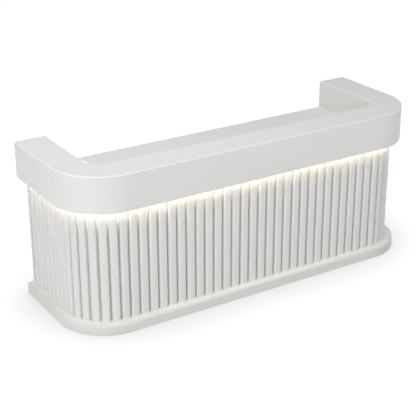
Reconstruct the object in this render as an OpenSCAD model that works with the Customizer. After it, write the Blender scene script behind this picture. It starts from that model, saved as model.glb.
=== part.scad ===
// Reception desk with a raised counter, a fluted curved front and a lit overhang.
// X runs along the desk, the public stands on the -Y side, the staff on the +Y side, Z is up.
// "Inset" always means the distance in from the outer face of the raised counter.

/* [Desk] */
// Length over the raised counter
desk_l = 2400; // [2200:10:2800]
// Depth from the public face to the staff edge
desk_d = 790; // [770:5:900]
// Height to the top of the raised counter
desk_h = 960; // [940:5:1100]
// Outer radius of the two front corners
corner_r = 312; // [290:2:360]
// Thickness of the carcass boards
board_t = 18; // [16:1:20]
// Radius of the eased edges on the painted boards
ease_r = 5; // [1:0.5:6]

/* [Raised counter] */
// Width of the counter seen from above
crown_w = 196; // [185:1:230]
// Height of the outer band of the counter
crown_h = 219; // [200:1:260]
// Thickness of the top board of the counter
crown_top_t = 22; // [18:1:28]

/* [Light] */
// Inset of the groove that holds the light
led_in = 34; // [21:1:38]
// Width of the aluminium channel
led_w = 16; // [16:1:22]
// Height of the aluminium channel
led_h = 12; // [9:1:14]
// Wall of the aluminium channel
led_wall = 1.5; // [1:0.1:2]
// Width of the light tape
tape_w = 10; // [6:1:12]
// Thickness of the light tape
tape_t = 1.6; // [1:0.1:2.2]
// Thickness of the opal cover strip
opal_t = 2; // [1.5:0.1:3]
// Radius of the light's lead
lead_r = 2.5; // [2:0.1:3]
// Length of the light's driver
driver_l = 150; // [120:5:180]
// Depth of the light's driver
driver_d = 28; // [22:1:36]
// Height of the light's driver
driver_h = 40; // [32:1:50]

/* [Fluted wrap] */
// Inset of the proudest line of the slats
slat_in = 58; // [52:1:66]
// Width of a slat along the front
slat_w = 51; // [44:1:52]
// Width of a slat round the corners and along the ends
bend_slat_w = 46; // [42:1:52]
// Depth of one slat
slat_d = 18; // [14:1:20]
// Straight flank under a slat's rounded shoulders
slat_flank = 5; // [3:0.5:8]
// Pitch of the slats along the front
slat_pitch = 61.8; // [60:0.1:66]
// Closer pitch round the corners and along the ends, rounded to a whole number of slats
bend_pitch = 57; // [56:0.5:62]

/* [Plinth] */
// Height of the plinth
plinth_h = 58; // [50:1:80]
// Inset of the plinth
plinth_in = 5; // [2:1:12]
// Radius of its two rear corners
plinth_rear_r = 34; // [28:1:45]
// Thickness of its outer skin
plinth_skin = 15; // [12:1:18]

/* [Worktop] */
// Thickness of the worktop
worktop_t = 22; // [18:1:30]
// How far the worktop runs in under the raised counter
worktop_lap = 70; // [60:1:78]
// Radius of the cable holes
grommet_r = 40; // [30:1:45]
// Distance of the cable holes from the middle
grommet_x = 430; // [350:5:500]
// Distance of the cable holes from the counter's inner face
grommet_y = 120; // [90:5:200]

/* [Cabinets] */
// Width of each cabinet
cabinet_w = 430; // [400:5:480]
// How far the cabinet fronts stand back from the worktop's edge
cabinet_set = 40; // [38:1:60]
// Height of the rail over the fronts
rail_h = 38; // [34:1:50]
// Gap between a front and what surrounds it
front_gap = 2; // [1.5:0.5:3]
// Thickness of the cabinet backs
back_t = 8; // [6:1:12]
// Height of the shelf in the cupboard above its base
shelf_z = 320; // [200:10:420]

/* [Drawers] */
// Height of the two shallow drawer fronts
small_front_h = 140; // [130:1:160]
// Thickness of the drawer box boards
box_t = 12; // [10:1:15]
// Thickness of the drawer bottoms
floor_t = 6; // [4:1:8]
// Room behind the drawer boxes and their runners
box_room = 28; // [20:1:80]
// How far the shallow boxes stay below the tops of their fronts
small_box_drop = 42; // [38:1:55]
// How far the file drawer's box stays below the top of its front
file_box_drop = 71; // [50:1:120]
// Thickness of a pair of runners
runner_t = 12.5; // [12:0.1:14]
// Height of the fixed runner channel
runner_h = 45; // [40:1:48]
// Sheet thickness of the runners
runner_s = 1.2; // [1:0.1:1.5]

/* [Hardware] */
// Distance between the feet of a handle
handle_c = 128; // [96:16:160]
// Radius of a handle's bar
handle_r = 5; // [4:0.5:6]
// How far a handle's bar stands off, to its middle
handle_off = 26; // [24:1:28]
// Radius of the knuckles of the hinges
knuckle_r = 4; // [3.5:0.1:5]
// Radius of the hinge pins
pin_r = 2; // [1.5:0.1:2.5]
// Height of a hinge
hinge_h = 70; // [50:1:90]
// Thickness of a hinge leaf
leaf_t = 1.3; // [1:0.1:1.4]
// Radius of the lock's barrel
barrel_r = 7; // [6:0.5:8]
// Reach of the lock's cam from the barrel's axis
cam_l = 34; // [32:1:36]

/* [Hidden] */
$fn = 96;

half_l = desk_l / 2;
half_d = desk_d / 2;
// Room past a face for a cut that must go right through it
cut = 1;
// Running clearance round the hinge pins and the lock's barrel
run_gap = 0.05;
// Gap between pieces that slide past each other
slide_gap = 0.3;

// Heights, from the floor up
wall_top = desk_h - crown_h;
desk_z = wall_top + board_t;
worktop_z = desk_z + worktop_t;
crown_board_z = desk_h - crown_top_t;

// Insets of the wall's layers, and the middle of each front corner
panel_in = slat_in + slat_d;
cavity_in = panel_in + board_t;
liner_in = crown_w - board_t;
corner_x = half_l - corner_r;
corner_y = corner_r - half_d;
end_y = half_d - board_t;
side_run = end_y - corner_y;
front_run = desk_l - 2 * corner_r;

// Inner faces of the wall that the worktop and the cabinets meet
inner_x = half_l - crown_w;
inner_y = crown_w - half_d;

// Bays between the upright boards in the front, and the edge of the worktop inside the counter
stud_bays = 6;
rib_bays = 4;
stud_bay = front_run / stud_bays;
lap_in = crown_w - worktop_lap;

// Middles of the slats of one half, as distances along the panel's face from the middle of the front
face_r = corner_r - panel_in;
arc_run = PI / 2 * face_r;
wrap_half = front_run / 2 + arc_run + side_run;
front_slat_count = floor(front_run / 2 / slat_pitch);
bend_start = front_slat_count * slat_pitch;
bend_slat_count = round((wrap_half - bend_start) / bend_pitch);
bend_step = (wrap_half - bend_start) / bend_slat_count;
slat_middles = [
    for (i = [0:front_slat_count - 1]) (i + 0.5) * slat_pitch,
    for (i = [0:bend_slat_count - 1]) bend_start + (i + 0.5) * bend_step
];
slat_h = wall_top - plinth_h;
shoulder_r = slat_d - slat_flank;
slat_seat = 4;

// Cabinets, one at each end of the knee space
knee_x = inner_x - cabinet_w;
cabinet_y = half_d - cabinet_set;
cabinet_h = desk_z - plinth_h;
cabinet_d = cabinet_y - inner_y;
opening_w = cabinet_w - 2 * board_t;
cabinet_mid = inner_x - cabinet_w / 2;
base_z = plinth_h + board_t;
rail_z = desk_z - rail_h;
front_y = cabinet_y - board_t;
front_w = opening_w - 2 * front_gap;

// Shelf and its pegs
peg_r = 2.5;
peg_in = 9;
peg_out = 8;
peg_back = 60;
peg_front = 80;
shelf_set = 20;
shelf_bottom = base_z + shelf_z;

// Drawer fronts share the opening under the rail
drawer_gap = 3;
opening_h = rail_z - base_z - 2 * front_gap;
file_front_h = opening_h - 2 * small_front_h - 2 * drawer_gap;
file_z = base_z + front_gap;
middle_z = file_z + file_front_h + drawer_gap;
top_z = middle_z + small_front_h + drawer_gap;
box_w = opening_w - 2 * runner_t;
box_l = cabinet_d - board_t - back_t - box_room;
box_lift = 14;
floor_lift = 8;
small_box_h = small_front_h - box_lift - small_box_drop;
file_box_h = file_front_h - box_lift - file_box_drop;

// Runners: a fixed channel, a slider inside it, and the runner on the drawer box inside the slider
runner_lift = 12;
runner_web_gap = 1;
channel_d = runner_t - 3;
slider_x = runner_s + runner_web_gap;
slider_d = channel_d - slider_x + runner_web_gap;
slider_h = runner_h - 2 * (runner_s + slide_gap);
inner_d = runner_t - slider_x - runner_s - runner_web_gap;
inner_h = slider_h - 2 * (runner_s + slide_gap);

// Lock in the top drawer, under the rail that its cam catches
lock_side = 39;
lock_drop = 22;
lock_x = -cabinet_mid + front_w / 2 - lock_side;
lock_z = top_z + small_front_h - lock_drop;
lock_body_r = 9.5;
lock_nut_r = 13;
lock_nut_t = 6;
lock_flange_t = 1.5;

// Hinge axis of the cupboard door, in the gap at its outer edge
hinge_gap = 3;
hinge_x = cabinet_mid + opening_w / 2 - hinge_gap / 2;
hinge_y = cabinet_y + knuckle_r;
hinge_leaf = 20;
hinge_end = 60;
door_h = opening_h;
door_w = opening_w - front_gap - hinge_gap;
door_x = cabinet_mid - opening_w / 2 + front_gap;
hinge_zs = [file_z + hinge_end, file_z + door_h - hinge_end - hinge_h];

// Cable sleeves in the worktop
grommet_wall = 3.5;
flange_w = 6;
flange_h = 3;
cap_lip = 2;
cap_t = 2.2;
cap_r = grommet_r - grommet_wall + cap_lip - slide_gap;

// Light driver on the knee side of the front liner, and the route of its lead to the light
driver_drop = 100;
lead_out = 34;
lead_bend = 12;
lead_hole_r = lead_r + 1.5;
lead_x = 1.25 * stud_bay;
driver_x = lead_x - lead_out - driver_l;
driver_z = desk_z - driver_drop;
lead_z = driver_z + driver_h / 2;
lead_y = inner_y + driver_d / 2;
lead_rise_y = (cavity_in + lap_in) / 2 - half_d;
lead_over_z = worktop_z;
light_y = led_in + led_w / 2 - half_d;
tape_z = wall_top + led_h - led_wall;
lead_route = [
    [lead_x - lead_out, lead_y, lead_z], [lead_x, lead_y, lead_z], [lead_x, lead_rise_y, lead_z],
    [lead_x, lead_rise_y, lead_over_z], [lead_x, light_y, lead_over_z], [lead_x, light_y, tape_z]
];

white = [0.93, 0.93, 0.92];
warm_white = [0.90, 0.89, 0.87];
mdf = [0.76, 0.66, 0.52];
steel = [0.72, 0.73, 0.75];

// Plan of the desk at an inset, closed at y1 on the staff side
module plan(inset, y1) {
    r = corner_r - inset;
    for (side = [-1, 1])
        translate([side * corner_x, corner_y])
            circle(r);
    translate([-corner_x, inset - half_d])
        square([2 * corner_x, y1 + half_d - inset]);
    translate([inset - half_l, corner_y])
        square([desk_l - 2 * inset, y1 - corner_y]);
}

// Sweeps a section along the U of the desk, x of the section is the inset and y the height
module u_sweep(end = end_y) {
    run = end - corner_y;
    translate([-corner_x, -half_d, 0])
        rotate([90, 0, 90])
            linear_extrude(front_run)
                children();
    for (side = [0, 1])
        mirror([side, 0, 0]) {
            translate([-half_l, end, 0])
                rotate([90, 0, 0])
                    linear_extrude(run)
                        children();
            translate([-corner_x, corner_y, 0])
                rotate([0, 0, 180])
                    rotate_extrude(angle = 90)
                        translate([corner_r, 0])
                            mirror([1, 0])
                                children();
        }
}

// Rectangle with chosen corners eased, in the order low left, low right, high right, high left
module eased(size, r, corners) {
    spots = [[0, 0], [size[0], 0], size, [0, size[1]]];
    difference() {
        square(size);
        for (i = [0:3])
            if (corners[i])
                translate(spots[i])
                    rotate(90 * i)
                        difference() {
                            translate([-cut, -cut])
                                square(r + cut);
                            translate([r, r])
                                circle(r);
                        }
    }
}

// Plinth

module plinth_section() {
    translate([plinth_in, 0])
        eased([plinth_skin, plinth_h], ease_r, [0, 0, 0, 1]);
}

module plinth_fascia() {
    back = half_d - plinth_in;
    turn_y = back - plinth_rear_r;
    turn_x = half_l - plinth_in - plinth_rear_r;
    color(white) {
        u_sweep(turn_y)
            plinth_section();
        for (side = [0, 1])
            mirror([side, 0, 0]) {
                translate([-turn_x, turn_y, 0])
                    rotate([0, 0, 90])
                        rotate_extrude(angle = 90)
                            translate([plinth_rear_r + plinth_in, 0])
                                mirror([1, 0])
                                    plinth_section();
                translate([-turn_x, back + plinth_in, 0])
                    rotate([90, 0, 90])
                        linear_extrude(turn_x - knee_x)
                            mirror([1, 0])
                                plinth_section();
            }
    }
}

// Plan of the plinth inside its skin, with the knee recess left open
module plinth_core() {
    skin_in = plinth_in + plinth_skin;
    r = plinth_rear_r - plinth_skin;
    back = half_d - skin_in;
    difference() {
        union() {
            plan(skin_in, back - r);
            for (side = [-1, 1])
                translate([side * (half_l - skin_in - r), back - r])
                    circle(r);
            translate([skin_in + r - half_l, 0])
                square([desk_l - 2 * (skin_in + r), back]);
        }
        translate([-knee_x, inner_y])
            square([2 * knee_x, desk_d]);
    }
}

module plinth_top() {
    color(white)
        translate([0, 0, plinth_h - board_t])
            linear_extrude(board_t)
                plinth_core();
}

module plinth_knee_rails() {
    h = plinth_h - board_t;
    back = half_d - plinth_in - plinth_skin;
    color(white) {
        translate([-knee_x, inner_y - board_t, 0])
            cube([2 * knee_x, board_t, h]);
        for (side = [0, 1])
            mirror([side, 0, 0])
                translate([knee_x, inner_y - board_t, 0])
                    cube([board_t, back - inner_y + board_t, h]);
    }
}

module plinth_bearers() {
    h = plinth_h - board_t;
    skin_in = plinth_in + plinth_skin;
    bays = 4;
    color(mdf)
        intersection() {
            linear_extrude(h)
                plan(skin_in, end_y);
            union() {
                for (i = [0:bays])
                    translate([(i - bays / 2) * 2 * knee_x / bays - board_t / 2, -half_d, 0])
                        cube([board_t, inner_y - board_t + half_d, h]);
                for (side = [0, 1], y = [inner_y, inner_y + cabinet_w / 2, cabinet_y - board_t])
                    mirror([side, 0, 0])
                        translate([knee_x + board_t, y, 0])
                            cube([half_l - knee_x, board_t, h]);
            }
        }
}

// Wall

module front_panel() {
    color(warm_white)
        translate([-corner_x, panel_in - half_d, plinth_h])
            cube([front_run, board_t, slat_h]);
}

module corner_panel() {
    color(warm_white)
        translate([-corner_x, corner_y, plinth_h])
            rotate([0, 0, 180])
                rotate_extrude(angle = 90)
                    translate([face_r - board_t, 0])
                        square([board_t, slat_h]);
}

module side_panel() {
    color(warm_white)
        translate([panel_in - half_l, corner_y, plinth_h])
            cube([board_t, side_run, slat_h]);
}

module left_corner_panel() {
    corner_panel();
}

module right_corner_panel() {
    mirror([1, 0, 0])
        corner_panel();
}

module left_side_panel() {
    side_panel();
}

module right_side_panel() {
    mirror([1, 0, 0])
        side_panel();
}

// Section of a slat: straight flanks, rounded shoulders and a flat back on the x axis, drawn deeper by seat
module slat_section(width, seat = 0) {
    intersection() {
        union() {
            for (side = [-1, 1])
                translate([side * (width / 2 - shoulder_r), shoulder_r - slat_d])
                    circle(shoulder_r);
            translate([shoulder_r - width / 2, -slat_d])
                square([width - 2 * shoulder_r, shoulder_r]);
        }
        translate([-width / 2, -slat_d])
            square([width, shoulder_r]);
    }
    translate([-width / 2, -slat_flank])
        square([width, slat_flank + seat]);
}

// Puts a slat at its distance along the wrap, measured from the middle of the front
module on_wrap(s) {
    bend = s - front_run / 2;
    if (bend <= 0)
        translate([s, panel_in - half_d, plinth_h])
            children();
    else if (bend <= arc_run)
        translate([corner_x, corner_y, plinth_h])
            rotate([0, 0, bend / face_r * 180 / PI])
                translate([0, -face_r, 0])
                    children();
    else
        translate([half_l - panel_in, corner_y + bend - arc_run, plinth_h])
            rotate([0, 0, 90])
                children();
}

// Slats of one half whose middles lie between two distances along the wrap
module slats_between(from, to, width, seat = 0) {
    for (s = slat_middles)
        if (s > from && s <= to)
            on_wrap(s)
                linear_extrude(slat_h)
                    slat_section(width, seat);
}

module front_slats() {
    color(white)
        for (side = [0, 1])
            mirror([side, 0, 0])
                slats_between(0, front_run / 2, slat_w);
}

// The corner slats are hollowed at the back to sit on the bent panel
module corner_slats() {
    color(white)
        difference() {
            slats_between(front_run / 2, front_run / 2 + arc_run, bend_slat_w, slat_seat);
            translate([0, 0, plinth_h - cut])
                linear_extrude(slat_h + 2 * cut)
                    plan(panel_in, half_d);
        }
}

module side_slats() {
    color(white)
        slats_between(front_run / 2 + arc_run, wrap_half, bend_slat_w);
}

module left_corner_slats() {
    mirror([1, 0, 0])
        corner_slats();
}

module right_corner_slats() {
    corner_slats();
}

module left_side_slats() {
    mirror([1, 0, 0])
        side_slats();
}

module right_side_slats() {
    side_slats();
}

module wall_studs() {
    depth = liner_in - cavity_in;
    side_ys = [corner_y - board_t / 2, (corner_y + end_y) / 2, end_y - board_t];
    color(mdf)
        intersection() {
            translate([0, 0, plinth_h])
                linear_extrude(slat_h)
                    plan(cavity_in, end_y);
            union() {
                for (i = [0:stud_bays])
                    translate([(i - stud_bays / 2) * stud_bay - board_t / 2, -half_d, plinth_h])
                        cube([board_t, liner_in, slat_h]);
                for (side = [0, 1], y = side_ys)
                    mirror([side, 0, 0])
                        translate([cavity_in - half_l - cut, y, plinth_h])
                            cube([depth + cut, board_t, slat_h]);
            }
        }
}

module front_liner() {
    color(warm_white)
        difference() {
            translate([-inner_x, inner_y - board_t, plinth_h])
                cube([2 * inner_x, board_t, cabinet_h]);
            translate([lead_x, inner_y + cut, lead_z])
                rotate([90, 0, 0])
                    cylinder(h = board_t + 2 * cut, r = lead_hole_r);
        }
}

module side_liners() {
    color(warm_white)
        for (side = [0, 1])
            mirror([side, 0, 0])
                translate([inner_x, inner_y - board_t, plinth_h])
                    cube([board_t, end_y - inner_y + board_t, cabinet_h]);
}

module wall_end_boards() {
    color(white)
        for (side = [0, 1])
            mirror([side, 0, 0])
                translate([inner_x, end_y, plinth_h])
                    cube([crown_w - slat_in, board_t, slat_h]);
}

// Raised counter

module counter_soffit() {
    color(white)
        difference() {
            translate([0, 0, wall_top])
                linear_extrude(board_t)
                    difference() {
                        plan(board_t, end_y);
                        translate([-inner_x - board_t, inner_y - board_t])
                            square([2 * (inner_x + board_t), desk_d]);
                    }
            u_sweep(end_y + cut)
                translate([led_in, wall_top - cut])
                    square([led_w, led_h + cut]);
            for (y = [lead_rise_y, light_y])
                translate([lead_x, y, wall_top - cut])
                    cylinder(h = board_t + 2 * cut, r = lead_hole_r);
        }
}

module counter_outer_fascia() {
    color(white)
        u_sweep()
            translate([0, wall_top])
                eased([board_t, crown_board_z - wall_top], ease_r, [1, 0, 0, 0]);
}

module counter_inner_fascia() {
    color(white)
        u_sweep()
            translate([liner_in, worktop_z])
                square([board_t, crown_board_z - worktop_z]);
}

module counter_top() {
    color(white)
        u_sweep()
            translate([0, crown_board_z])
                eased([crown_w, crown_top_t], ease_r, [0, 0, 1, 1]);
}

module counter_end_caps() {
    color(white)
        for (side = [0, 1])
            mirror([side, 0, 0])
                translate([-half_l, half_d, wall_top])
                    rotate([90, 0, 0])
                        linear_extrude(board_t)
                            eased([crown_w, crown_h], ease_r, [1, 0, 1, 1]);
}

module rib_section() {
    translate([board_t, desk_z])
        square([lap_in - board_t, crown_board_z - desk_z]);
    translate([lap_in, worktop_z])
        square([liner_in - lap_in, crown_board_z - worktop_z]);
}

module counter_ribs() {
    side_ys = [corner_y + board_t / 2, (corner_y + end_y) / 2, end_y];
    color(mdf)
        intersection() {
            translate([0, 0, desk_z])
                linear_extrude(crown_board_z - desk_z)
                    plan(board_t, end_y);
            union() {
                for (i = [0:rib_bays])
                    translate([(i - rib_bays / 2) * front_run / rib_bays - board_t / 2, -half_d, 0])
                        rotate([90, 0, 90])
                            linear_extrude(board_t)
                                rib_section();
                for (side = [0, 1], y = side_ys)
                    mirror([side, 0, 0])
                        translate([-half_l, y, 0])
                            rotate([90, 0, 0])
                                linear_extrude(board_t)
                                    rib_section();
            }
        }
}

// Light under the overhang

module light_channel() {
    color(steel)
        difference() {
            u_sweep()
                translate([led_in, wall_top])
                    difference() {
                        square([led_w, led_h]);
                        translate([led_wall, -cut])
                            square([led_w - 2 * led_wall, led_h - led_wall + cut]);
                    }
            translate([lead_x, light_y, tape_z - cut])
                cylinder(h = led_wall + 2 * cut, r = lead_r + slide_gap);
        }
}

module light_tape() {
    color([0.95, 0.93, 0.80])
        u_sweep()
            translate([led_in + (led_w - tape_w) / 2, tape_z - tape_t])
                square([tape_w, tape_t]);
}

module light_cover() {
    color([1.0, 0.98, 0.90])
        u_sweep()
            translate([led_in + led_wall, wall_top])
                square([led_w - 2 * led_wall, opal_t]);
}

// Die-cast box with a screw ear at each end and a raised lid
module light_driver() {
    ear_l = 14;
    ear_t = 3;
    hole_r = 2.2;
    lid = 3;
    color([0.30, 0.31, 0.33])
        translate([driver_x, inner_y, driver_z]) {
            cube([driver_l, driver_d - lid, driver_h]);
            translate([lid, driver_d - lid, lid])
                cube([driver_l - 2 * lid, lid, driver_h - 2 * lid]);
            for (x = [-ear_l, driver_l])
                difference() {
                    translate([x, 0, 0])
                        cube([ear_l, ear_t, driver_h / 2 - 2 * lead_r]);
                    translate([x + ear_l / 2, -cut, driver_h / 4 - lead_r])
                        rotate([-90, 0, 0])
                            cylinder(h = ear_t + 2 * cut, r = hole_r);
                }
        }
}

function direction(a, b) = (b - a) / norm(b - a);

// Round lead that follows straight runs joined by quarter bends
module run_lead(points, r, bend) {
    last = len(points) - 1;
    for (i = [0:last - 1]) {
        a = direction(points[i], points[i + 1]);
        before = i == 0 ? 0 : bend;
        after = i == last - 1 ? 0 : bend;
        translate(points[i] + a * before)
            rotate([0, acos(a[2]), atan2(a[1], a[0])])
                cylinder(h = norm(points[i + 1] - points[i]) - before - after, r = r);
    }
    for (i = [1:last - 1]) {
        a = direction(points[i - 1], points[i]);
        b = direction(points[i], points[i + 1]);
        n = cross(a, b);
        c = points[i] - a * bend + b * bend;
        multmatrix([
            [-b[0], a[0], n[0], c[0]],
            [-b[1], a[1], n[1], c[1]],
            [-b[2], a[2], n[2], c[2]]
        ])
            rotate_extrude(angle = 90)
                translate([bend, 0])
                    circle(r);
    }
}

module light_lead() {
    color([0.88, 0.88, 0.86])
        run_lead(lead_route, lead_r, lead_bend);
}

// Worktop

module worktop() {
    color(white)
        translate([0, 0, desk_z])
            linear_extrude(worktop_t)
                difference() {
                    union() {
                        plan(lap_in, end_y);
                        translate([-inner_x, inner_y])
                            square([2 * inner_x, half_d - inner_y]);
                    }
                    for (side = [-1, 1])
                        translate([side * grommet_x, inner_y + grommet_y])
                            circle(grommet_r);
                }
}

module at_grommets() {
    for (side = [-1, 1])
        translate([side * grommet_x, inner_y + grommet_y, worktop_z])
            children();
}

// Sleeve with a flange that lies on the worktop and a ledge for the cap
module cable_grommets() {
    in_r = grommet_r - grommet_wall;
    lip_r = in_r + cap_lip;
    out_r = grommet_r - run_gap;
    color([0.80, 0.80, 0.80])
        at_grommets()
            rotate_extrude()
                polygon([
                    [in_r, -worktop_t], [out_r, -worktop_t], [out_r, 0], [grommet_r + flange_w, 0],
                    [grommet_r + flange_w, flange_h / 2], [grommet_r + flange_w - flange_h / 2, flange_h],
                    [lip_r, flange_h], [lip_r, flange_h - cap_t], [in_r, flange_h - cap_t]
                ]);
}

// Cap with a rounded notch at its edge for the cables
module grommet_caps() {
    notch_r = 11;
    color([0.80, 0.80, 0.80])
        at_grommets()
            translate([0, 0, flange_h - cap_t])
                linear_extrude(cap_t)
                    difference() {
                        circle(cap_r);
                        translate([0, cap_r - notch_r])
                            circle(notch_r);
                        translate([-notch_r, cap_r - notch_r])
                            square([2 * notch_r, 2 * notch_r]);
                    }
}

// Cabinets

module at_cabinets() {
    for (side = [0, 1])
        mirror([side, 0, 0])
            translate([knee_x, inner_y, plinth_h])
                children();
}

module cabinet_sides() {
    peg_hole = peg_r + run_gap;
    color(warm_white)
        difference() {
            at_cabinets()
                for (x = [0, cabinet_w - board_t])
                    translate([x, 0, 0])
                        cube([board_t, cabinet_d, cabinet_h]);
            at_pegs()
                translate([0, 0, -peg_in])
                    cylinder(h = peg_in + cut, r = peg_hole);
        }
}

module cabinet_bases() {
    color(warm_white)
        at_cabinets()
            translate([board_t, 0, 0])
                cube([opening_w, cabinet_d, board_t]);
}

module cabinet_backs() {
    color(warm_white)
        at_cabinets()
            translate([board_t, 0, board_t])
                cube([opening_w, back_t, cabinet_h - board_t]);
}

module cabinet_rails() {
    back_rail = 80;
    color(warm_white)
        at_cabinets() {
            translate([board_t, cabinet_d - board_t, cabinet_h - rail_h])
                cube([opening_w, board_t, rail_h]);
            translate([board_t, back_t, cabinet_h - board_t])
                cube([opening_w, back_rail, board_t]);
        }
}

// The four shelf pegs, each with its axis pointing into the cupboard
module at_pegs() {
    for (side = [-1, 1], y = [inner_y + back_t + peg_back, front_y - peg_front])
        translate([cabinet_mid + side * opening_w / 2, y, shelf_bottom - peg_r])
            rotate([0, -90 * side, 0])
                children();
}

module shelf_pegs() {
    color(steel)
        at_pegs()
            translate([0, 0, -peg_in])
                cylinder(h = peg_in + peg_out, r = peg_r);
}

module cupboard_shelf() {
    color(warm_white)
        translate([cabinet_mid - opening_w / 2 + slide_gap, inner_y + back_t, shelf_bottom])
            cube([opening_w - 2 * slide_gap, front_y - inner_y - back_t - shelf_set, board_t]);
}

// Drawers

// Straight bar on two feet, with the middle between its feet at the origin and the bar towards +y
module bar_handle() {
    over = 16;
    foot_r = handle_r - 1;
    color(steel) {
        translate([0, handle_off, 0])
            rotate([0, 90, 0])
                cylinder(h = handle_c + 2 * over, r = handle_r, center = true);
        for (side = [-1, 1])
            translate([side * handle_c / 2, 0, 0])
                rotate([-90, 0, 0])
                    cylinder(h = handle_off, r = foot_r);
    }
}

module drawer_front(z, h) {
    color(white)
        translate([-cabinet_mid - front_w / 2, front_y, z])
            cube([front_w, board_t, h]);
}

// Two sides, a back and an inner front round a thin bottom
module drawer_box(z, h) {
    inner_w = box_w - 2 * box_t;
    color(warm_white)
        translate([-cabinet_mid - box_w / 2, front_y - box_l, z + box_lift]) {
            for (x = [0, box_w - box_t])
                translate([x, 0, 0])
                    cube([box_t, box_l, h]);
            for (y = [0, box_l - box_t])
                translate([box_t, y, 0])
                    cube([inner_w, box_t, h]);
            translate([box_t, box_t, floor_lift])
                cube([inner_w, box_l - 2 * box_t, floor_t]);
        }
}

module drawer_handle(z) {
    translate([-cabinet_mid, cabinet_y, z])
        bar_handle();
}

// Puts a runner's section beside a drawer box on both sides, x runs in from the cabinet's side
module runner_pair(z, y0, length) {
    for (side = [0, 1])
        translate([-cabinet_mid, 0, 0])
            mirror([side, 0, 0])
                translate([-opening_w / 2, y0 + length, z + box_lift + runner_lift])
                    rotate([90, 0, 0])
                        linear_extrude(length)
                            children();
}

// Channel section, open towards +x
module channel(depth, height) {
    difference() {
        square([depth, height]);
        translate([runner_s, runner_s])
            square([depth, height - 2 * runner_s]);
    }
}

module runner_channels() {
    color(steel)
        for (z = [file_z, middle_z, top_z])
            runner_pair(z, front_y - box_l, box_l)
                channel(channel_d, runner_h);
}

module drawer_sliders(z) {
    color(steel)
        runner_pair(z, front_y - box_l, box_l)
            translate([slider_x, runner_s + slide_gap])
                channel(slider_d, slider_h);
}

module drawer_runners(z) {
    color(steel)
        runner_pair(z, front_y - box_l, box_l)
            translate([runner_t, 2 * (runner_s + slide_gap)])
                mirror([1, 0])
                    channel(inner_d, inner_h);
}

module top_drawer_front() {
    color(white)
        difference() {
            drawer_front(top_z, small_front_h);
            translate([lock_x, front_y - cut, lock_z])
                rotate([-90, 0, 0])
                    cylinder(h = board_t + 2 * cut, r = lock_body_r + run_gap);
        }
}

module top_drawer_box() {
    drawer_box(top_z, small_box_h);
}

module top_drawer_handle() {
    drawer_handle(top_z + small_front_h / 2);
}

module top_drawer_runners() {
    drawer_runners(top_z);
}

module top_drawer_sliders() {
    drawer_sliders(top_z);
}

module middle_drawer_front() {
    drawer_front(middle_z, small_front_h);
}

module middle_drawer_box() {
    drawer_box(middle_z, small_box_h);
}

module middle_drawer_handle() {
    drawer_handle(middle_z + small_front_h / 2);
}

module middle_drawer_runners() {
    drawer_runners(middle_z);
}

module middle_drawer_sliders() {
    drawer_sliders(middle_z);
}

module file_drawer_front() {
    drawer_front(file_z, file_front_h);
}

module file_drawer_box() {
    drawer_box(file_z, file_box_h);
}

module file_drawer_handle() {
    drawer_handle(file_z + file_front_h - small_front_h / 2);
}

module file_drawer_runners() {
    drawer_runners(file_z);
}

module file_drawer_sliders() {
    drawer_sliders(file_z);
}

// Lock

module at_lock() {
    translate([lock_x, cabinet_y, lock_z])
        rotate([90, 0, 0])
            children();
}

// Housing through the drawer front, with a flange outside and a nut inside
module lock_body() {
    flange_r = lock_body_r + 2;
    body_l = lock_flange_t + board_t + lock_nut_t;
    color(steel)
        at_lock()
            difference() {
                union() {
                    translate([0, 0, -lock_flange_t])
                        cylinder(h = lock_flange_t, r = flange_r);
                    cylinder(h = board_t, r = lock_body_r);
                    translate([0, 0, board_t])
                        cylinder(h = lock_nut_t, r = lock_nut_r, $fn = 6);
                }
                translate([0, 0, -lock_flange_t - cut])
                    cylinder(h = body_l + 2 * cut, r = barrel_r + run_gap);
            }
}

// Barrel with a key slot in its face and a cam on its inner end, lying flat while unlocked
module lock_barrel() {
    key_w = 1.6;
    key_h = 8;
    key_d = 4;
    cam_t = 2.5;
    cam_w = 14;
    cam_z = board_t + lock_nut_t + slide_gap;
    color(steel)
        at_lock() {
            difference() {
                translate([0, 0, -lock_flange_t])
                    cylinder(h = cam_z + lock_flange_t, r = barrel_r);
                translate([-key_w / 2, -key_h / 2, -lock_flange_t - cut])
                    cube([key_w, key_h, key_d + cut]);
            }
            translate([0, 0, cam_z])
                linear_extrude(cam_t) {
                    circle(cam_w / 2);
                    translate([-cam_l, -cam_w / 2])
                        square([cam_l, cam_w]);
                }
        }
}

// Cupboard door

module cupboard_door() {
    color(white)
        translate([door_x, front_y, file_z])
            cube([door_w, board_t, door_h]);
}

module door_handle() {
    inset = 45;
    drop = 60;
    translate([door_x + inset, cabinet_y, file_z + door_h - drop - handle_c / 2])
        rotate([0, 90, 0])
            bar_handle();
}

// Knuckle of a hinge from z0 to z1 with the leaf plate that it carries
module hinge_plate(side, spans, bore) {
    plate_x = side * slide_gap / 2 + (side < 0 ? -leaf_t : 0);
    difference() {
        union() {
            translate([plate_x, -knuckle_r - hinge_leaf, 0])
                cube([leaf_t, hinge_leaf - slide_gap, hinge_h]);
            for (s = spans)
                translate([0, 0, s[0]]) {
                    cylinder(h = s[1] - s[0], r = knuckle_r);
                    translate([plate_x, -knuckle_r - hinge_leaf, 0])
                        cube([leaf_t, hinge_leaf + knuckle_r, s[1] - s[0]]);
                }
        }
        translate([0, 0, -cut])
            cylinder(h = hinge_h + 2 * cut, r = bore);
    }
}

module at_hinges() {
    for (z = hinge_zs)
        translate([hinge_x, hinge_y, z])
            children();
}

module hinge_fixed_leaves() {
    third = hinge_h / 3;
    color(steel)
        at_hinges() {
            hinge_plate(1, [[0, third - slide_gap], [2 * third + slide_gap, hinge_h]], pin_r - run_gap);
            cylinder(h = hinge_h, r = pin_r);
        }
}

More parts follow.
